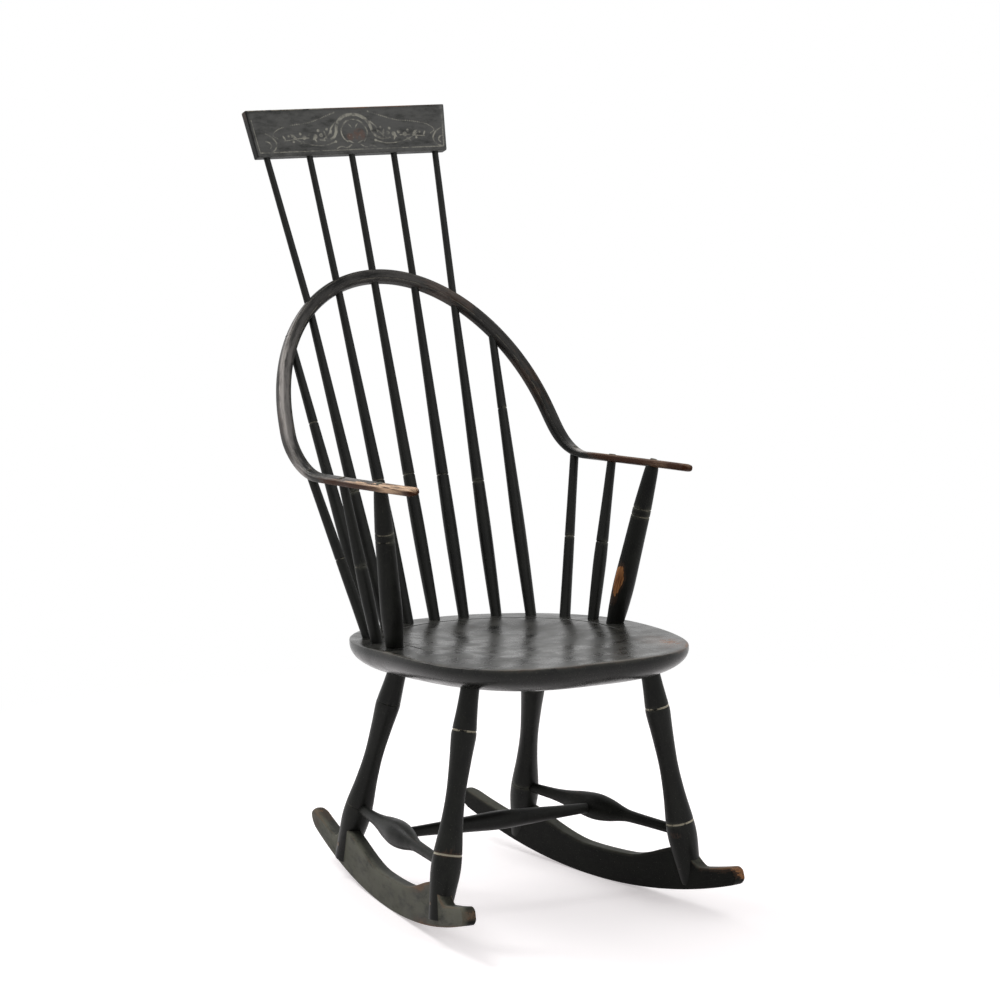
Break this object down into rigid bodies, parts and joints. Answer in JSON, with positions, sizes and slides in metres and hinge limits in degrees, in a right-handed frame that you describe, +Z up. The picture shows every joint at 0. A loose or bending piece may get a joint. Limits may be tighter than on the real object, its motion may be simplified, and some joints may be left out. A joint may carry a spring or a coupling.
{
  "type": "rocking chair",
  "caption": "Comb back rocking chair: saddled plank seat, bent hoop with arms, tall spindles to a crest board, turned legs and stretchers on curved rockers.",
  "frame": {"origin": "on the floor, at the middle of the bounding box, with the chair at rest on its rockers", "axes": "+Z up, +Y toward the chair's back, +X toward the right of someone who faces the chair (the sitter's left)"},
  "size_m": [0.4682, 0.7893, 1.1185],
  "materials": {
    "black_paint": "old black paint, satin, worn thin at edges",
    "bare_wood": "bare pegs and wedges, darkened by age"
  },
  "bodies": {
    "root": {"seat": "black_paint", "bow": "black_paint", "crest": "black_paint", "comb_spindle_1": "black_paint", "comb_spindle_2": "black_paint", "comb_spindle_3": "black_paint", "comb_spindle_4": "black_paint", "comb_spindle_5": "black_paint", "back_spindle_left": "black_paint", "back_spindle_right": "black_paint", "arm_spindle_rear_left": "black_paint", "arm_spindle_rear_right": "black_paint", "arm_spindle_front_left": "black_paint", "arm_spindle_front_right": "black_paint", "arm_post_left": "black_paint", "arm_post_right": "black_paint", "leg_front_left": "black_paint", "leg_front_right": "black_paint", "leg_rear_left": "black_paint", "leg_rear_right": "black_paint", "side_stretcher_left": "black_paint", "side_stretcher_right": "black_paint", "cross_stretcher": "black_paint", "rocker_left": "black_paint", "rocker_right": "black_paint", "rocker_pegs": "bare_wood", "tenon_wedges": "bare_wood", "crest_pins": "bare_wood"}
  },
  "joints": []
}
